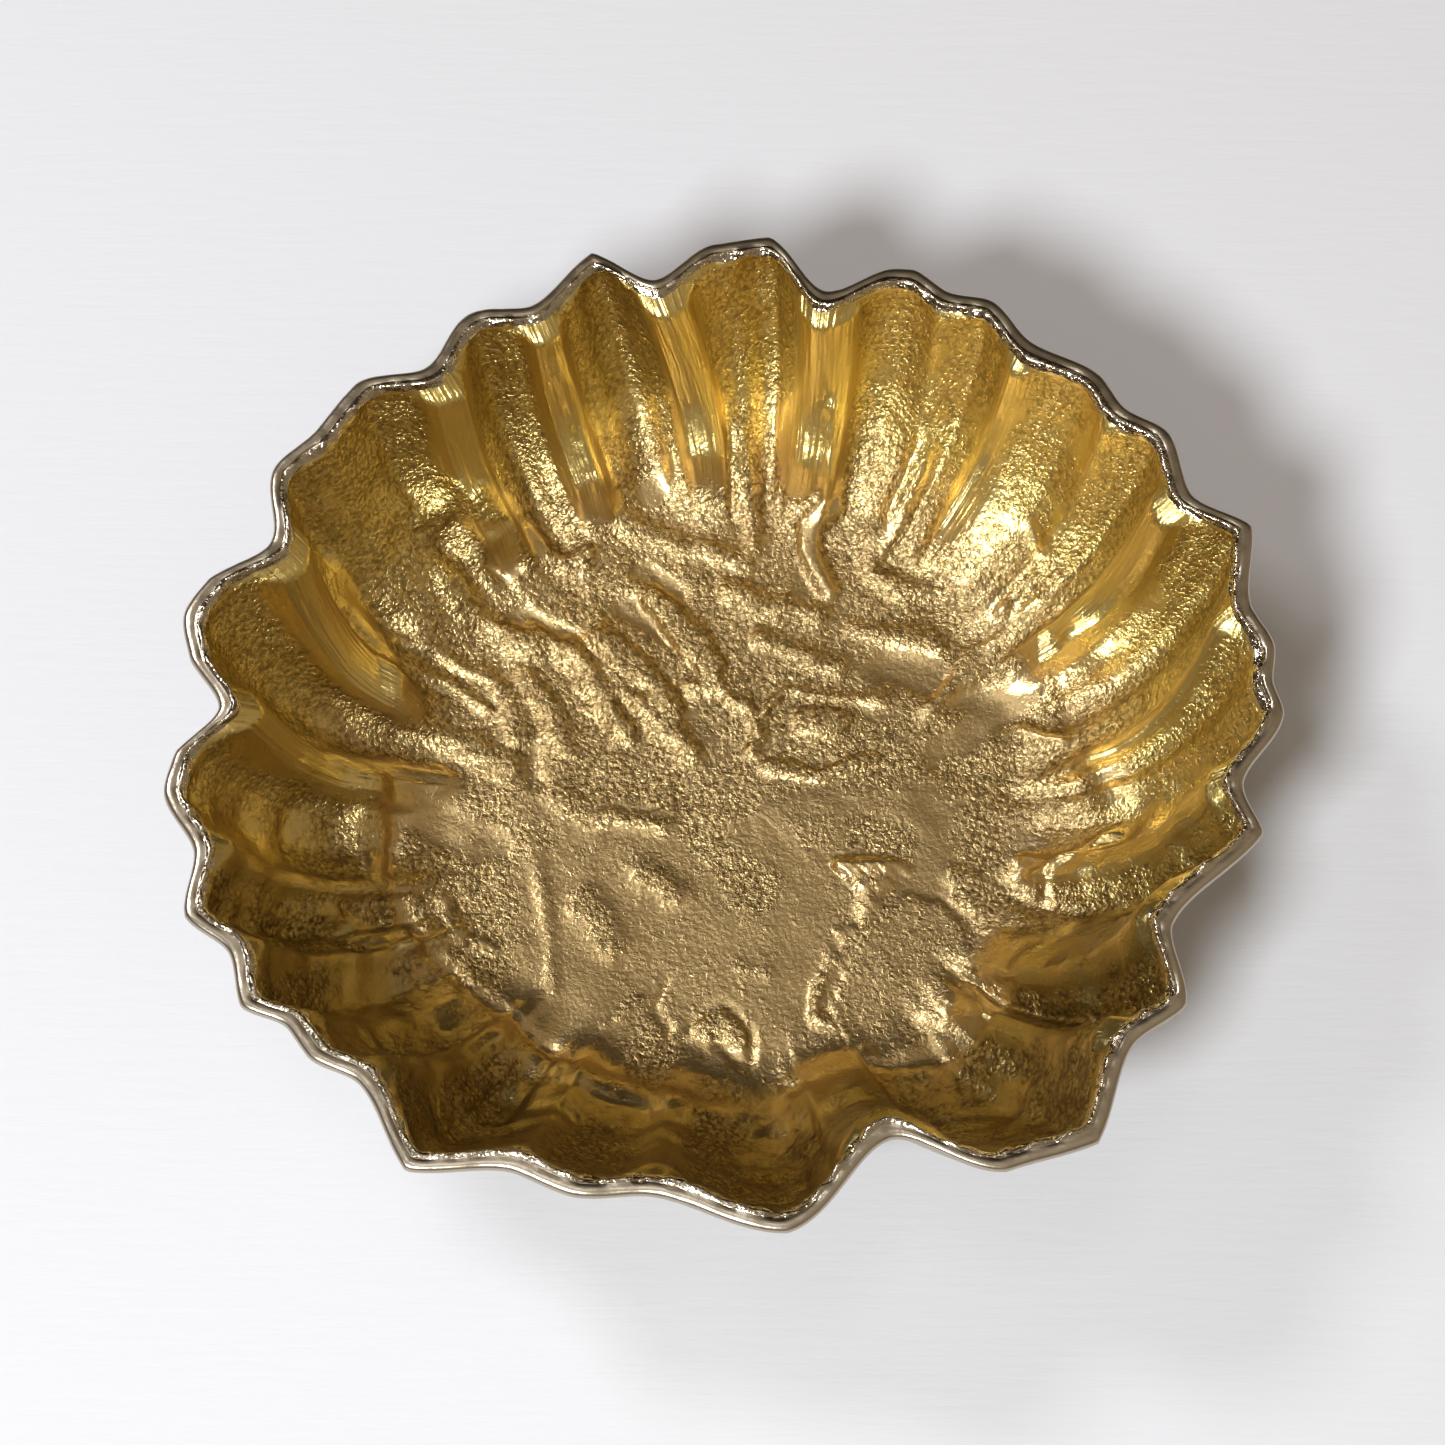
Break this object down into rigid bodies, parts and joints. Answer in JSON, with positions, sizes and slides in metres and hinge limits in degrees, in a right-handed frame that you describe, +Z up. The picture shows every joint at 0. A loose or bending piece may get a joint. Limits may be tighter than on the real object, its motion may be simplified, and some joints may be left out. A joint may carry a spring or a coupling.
{
  "type": "scallop shell bowl",
  "caption": "Shallow sand-cast brass bowl shaped as an open fluted scallop shell, gilt inside with a nickel lip, standing on turned screw-on feet with felt pads.",
  "frame": {"origin": "on the table, under the middle of the rim's extent", "axes": "+Z up; +Y towards the fan side of the shell and -Y towards its hinge side; X across the shell, its widest way"},
  "size_m": [0.2492, 0.2398, 0.0721],
  "materials": {
    "gilt_brass": "sand-cast texture, lacquered gilt",
    "nickel_plate": "polished warm nickel over brass",
    "screw_steel": "zinc plated",
    "felt": "pressed wool felt"
  },
  "bodies": {
    "root": {"shell_bowl": "gilt_brass", "foot_front": "nickel_plate", "foot_back_right": "nickel_plate", "foot_back_left": "nickel_plate", "foot_screw_front": "screw_steel", "foot_screw_back_right": "screw_steel", "foot_screw_back_left": "screw_steel", "felt_pad_front": "felt", "felt_pad_back_right": "felt", "felt_pad_back_left": "felt"}
  },
  "joints": []
}
